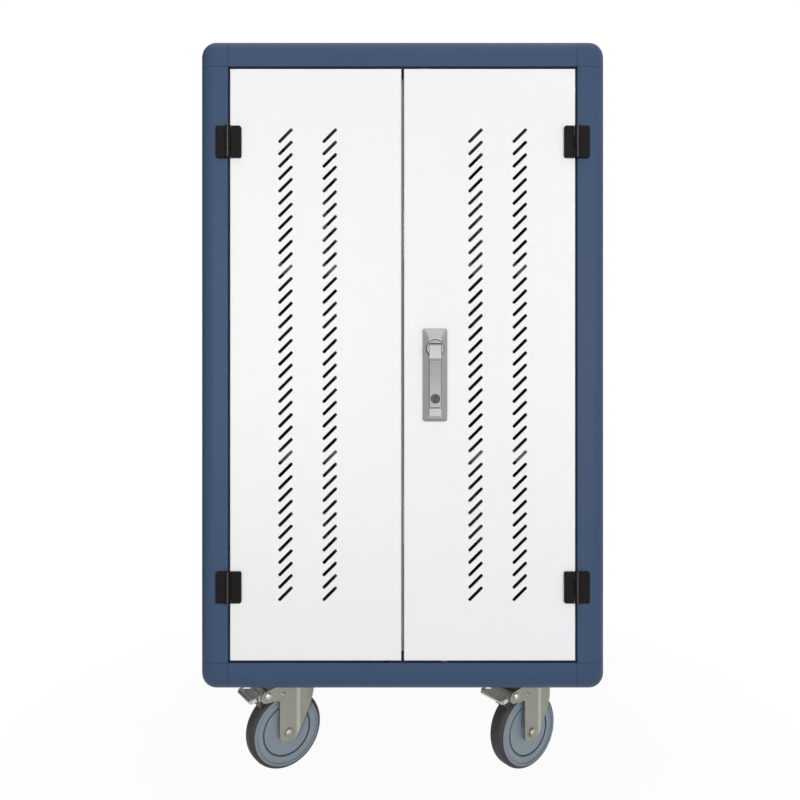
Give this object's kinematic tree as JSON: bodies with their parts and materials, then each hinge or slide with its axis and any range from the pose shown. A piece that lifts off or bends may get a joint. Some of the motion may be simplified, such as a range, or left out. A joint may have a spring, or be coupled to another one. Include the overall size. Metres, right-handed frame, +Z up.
{
  "type": "device charging cabinet",
  "caption": "Rolling cabinet with rounded frame members, two vented doors, a swing handle lock and upright bays on shelves for charging portable devices.",
  "frame": {"origin": "on the floor under the centre of the cabinet's bounding box", "axes": "+X to the right seen from the front, +Y from the doors to the rear, +Z up"},
  "size_m": [0.62, 0.5768, 1.15],
  "materials": {
    "frame_blue": "satin blue paint",
    "corner_blue": "satin blue",
    "panel_white": "fine powder coat",
    "shelf_grey": "powder coat",
    "divider_grey": "matt",
    "strip_black": "matt",
    "socket_black": "satin",
    "hinge_black": "matt black",
    "pin_steel": "plain",
    "lock_silver": "satin",
    "zinc_steel": "zinc plated",
    "core_grey": "smooth",
    "tyre_rubber": "matt"
  },
  "bodies": {
    "cabinet": {"corner_posts": "frame_blue", "front_rails": "frame_blue", "rear_rails": "frame_blue", "side_rails": "frame_blue", "corner_blocks": "corner_blue", "top_panel": "panel_white", "base_panel": "panel_white", "left_side_panel": "panel_white", "right_side_panel": "panel_white", "rear_panel": "panel_white", "shelf_angles": "shelf_grey", "device_shelves": "shelf_grey", "bay_dividers": "divider_grey", "device_stops": "shelf_grey", "socket_strips": "strip_black", "sockets": "socket_black", "power_inlet": "strip_black", "frame_hinge_leaves": "hinge_black", "hinge_pins": "pin_steel", "caster_plates": "zinc_steel"},
    "left_door_body": {"left_door": "panel_white", "left_door_hinge_leaves": "hinge_black", "bolt_cases": "strip_black"},
    "right_door_body": {"right_door": "panel_white", "right_door_hinge_leaves": "hinge_black", "lock_body": "lock_silver", "gear_case": "zinc_steel", "rod_guides": "strip_black"},
    "handle_carrier": {"handle_rotor": "lock_silver", "lever_pin": "pin_steel", "drive_pinion": "pin_steel"},
    "lever_body": {"handle_lever": "lock_silver"},
    "key_body": {"key_cylinder": "pin_steel"},
    "button_body": {"release_button": "lock_silver"},
    "upper_rod_body": {"upper_rod": "zinc_steel"},
    "lower_rod_body": {"lower_rod": "zinc_steel"},
    "top_bolt_body": {"top_bolt": "zinc_steel"},
    "bottom_bolt_body": {"bottom_bolt": "zinc_steel"},
    "switch_body": {"power_switch": "socket_black"},
    "front_left_caster": {"front_left_fork": "zinc_steel", "front_left_axle": "pin_steel"},
    "front_left_wheel": {"front_left_wheel_core": "core_grey", "front_left_tyre": "tyre_rubber"},
    "front_left_brake": {"front_left_brake_pedal": "zinc_steel"},
    "front_right_caster": {"front_right_fork": "zinc_steel", "front_right_axle": "pin_steel"},
    "front_right_wheel": {"front_right_wheel_core": "core_grey", "front_right_tyre": "tyre_rubber"},
    "front_right_brake": {"front_right_brake_pedal": "zinc_steel"},
    "rear_left_caster": {"rear_left_fork": "zinc_steel", "rear_left_axle": "pin_steel"},
    "rear_left_wheel": {"rear_left_wheel_core": "core_grey", "rear_left_tyre": "tyre_rubber"},
    "rear_left_brake": {"rear_left_brake_pedal": "zinc_steel"},
    "rear_right_caster": {"rear_right_fork": "zinc_steel", "rear_right_axle": "pin_steel"},
    "rear_right_wheel": {"rear_right_wheel_core": "core_grey", "rear_right_tyre": "tyre_rubber"},
    "rear_right_brake": {"rear_right_brake_pedal": "zinc_steel"}
  },
  "joints": [
    {"name": "left_door_swing", "type": "hinge", "parent": "cabinet", "child": "left_door_body", "pos_m": [-0.2635, -0.2761, 0.6525], "axis": [0, 0, -1], "range_deg": [0, 170]},
    {"name": "right_door_swing", "type": "hinge", "parent": "cabinet", "child": "right_door_body", "pos_m": [0.2635, -0.2761, 0.6525], "axis": [0, 0, 1], "range_deg": [0, 170]},
    {"name": "handle_turn", "type": "hinge", "parent": "right_door_body", "child": "handle_carrier", "pos_m": [0.0489, -0.2716, 0.676], "axis": [0, -1, 0], "range_deg": [0, 90]},
    {"name": "lever_lift", "type": "hinge", "parent": "handle_carrier", "child": "lever_body", "pos_m": [0.0489, -0.2851, 0.68], "axis": [-1, 0, 0], "range_deg": [0, 25]},
    {"name": "key_turn", "type": "hinge", "parent": "right_door_body", "child": "key_body", "pos_m": [0.0489, -0.2716, 0.6007], "axis": [0, -1, 0], "range_deg": [0, 90]},
    {"name": "button_press", "type": "slide", "parent": "right_door_body", "child": "button_body", "axis": [0, 1, 0], "range_m": [0, 0.003], "stiffness_N_per_m": 400},
    {"name": "upper_rod_slide", "type": "slide", "parent": "right_door_body", "child": "upper_rod_body", "axis": [0, 0, -1], "range_m": [0, 0.01419]},
    {"name": "lower_rod_slide", "type": "slide", "parent": "right_door_body", "child": "lower_rod_body", "axis": [0, 0, 1], "range_m": [0, 0.01419]},
    {"name": "top_bolt_slide", "type": "slide", "parent": "left_door_body", "child": "top_bolt_body", "axis": [0, 0, 1], "range_m": [0, 0.014]},
    {"name": "bottom_bolt_slide", "type": "slide", "parent": "left_door_body", "child": "bottom_bolt_body", "axis": [0, 0, -1], "range_m": [0, 0.014]},
    {"name": "switch_rock", "type": "hinge", "parent": "cabinet", "child": "switch_body", "pos_m": [-0.19, 0.2814, 0.278], "axis": [-1, 0, 0], "range_deg": [0, 16]},
    {"name": "front_left_swivel", "type": "hinge", "parent": "cabinet", "child": "front_left_caster", "pos_m": [-0.174, -0.1726, 0.161], "axis": [0, 0, 1], "continuous": true},
    {"name": "front_left_roll", "type": "hinge", "parent": "front_left_caster", "child": "front_left_wheel", "pos_m": [-0.19473, -0.18658, 0.0625], "axis": [0.5592, -0.829, 0], "continuous": true},
    {"name": "front_left_brake_press", "type": "hinge", "parent": "front_left_caster", "child": "front_left_brake", "pos_m": [-0.22457, -0.20671, 0.13], "axis": [0.5592, -0.829, 0], "range_deg": [0, 8]},
    {"name": "front_right_swivel", "type": "hinge", "parent": "cabinet", "child": "front_right_caster", "pos_m": [0.218, -0.1726, 0.161], "axis": [0, 0, 1], "continuous": true},
    {"name": "front_right_roll", "type": "hinge", "parent": "front_right_caster", "child": "front_right_wheel", "pos_m": [0.19727, -0.18658, 0.0625], "axis": [0.5592, -0.829, 0], "continuous": true},
    {"name": "front_right_brake_press", "type": "hinge", "parent": "front_right_caster", "child": "front_right_brake", "pos_m": [0.16743, -0.20671, 0.13], "axis": [0.5592, -0.829, 0], "range_deg": [0, 8]},
    {"name": "rear_left_swivel", "type": "hinge", "parent": "cabinet", "child": "rear_left_caster", "pos_m": [-0.174, 0.1894, 0.161], "axis": [0, 0, 1], "continuous": true},
    {"name": "rear_left_roll", "type": "hinge", "parent": "rear_left_caster", "child": "rear_left_wheel", "pos_m": [-0.19473, 0.17542, 0.0625], "axis": [0.5592, -0.829, 0], "continuous": true},
    {"name": "rear_left_brake_press", "type": "hinge", "parent": "rear_left_caster", "child": "rear_left_brake", "pos_m": [-0.22457, 0.15529, 0.13], "axis": [0.5592, -0.829, 0], "range_deg": [0, 8]},
    {"name": "rear_right_swivel", "type": "hinge", "parent": "cabinet", "child": "rear_right_caster", "pos_m": [0.218, 0.1894, 0.161], "axis": [0, 0, 1], "continuous": true},
    {"name": "rear_right_roll", "type": "hinge", "parent": "rear_right_caster", "child": "rear_right_wheel", "pos_m": [0.19727, 0.17542, 0.0625], "axis": [0.5592, -0.829, 0], "continuous": true},
    {"name": "rear_right_brake_press", "type": "hinge", "parent": "rear_right_caster", "child": "rear_right_brake", "pos_m": [0.16743, 0.15529, 0.13], "axis": [0.5592, -0.829, 0], "range_deg": [0, 8]}
  ],
  "couplings": [
    {"joint": "upper_rod_slide", "follows": "handle_turn", "m_per_rad": 0.009},
    {"joint": "lower_rod_slide", "follows": "handle_turn", "m_per_rad": 0.009}
  ]
}
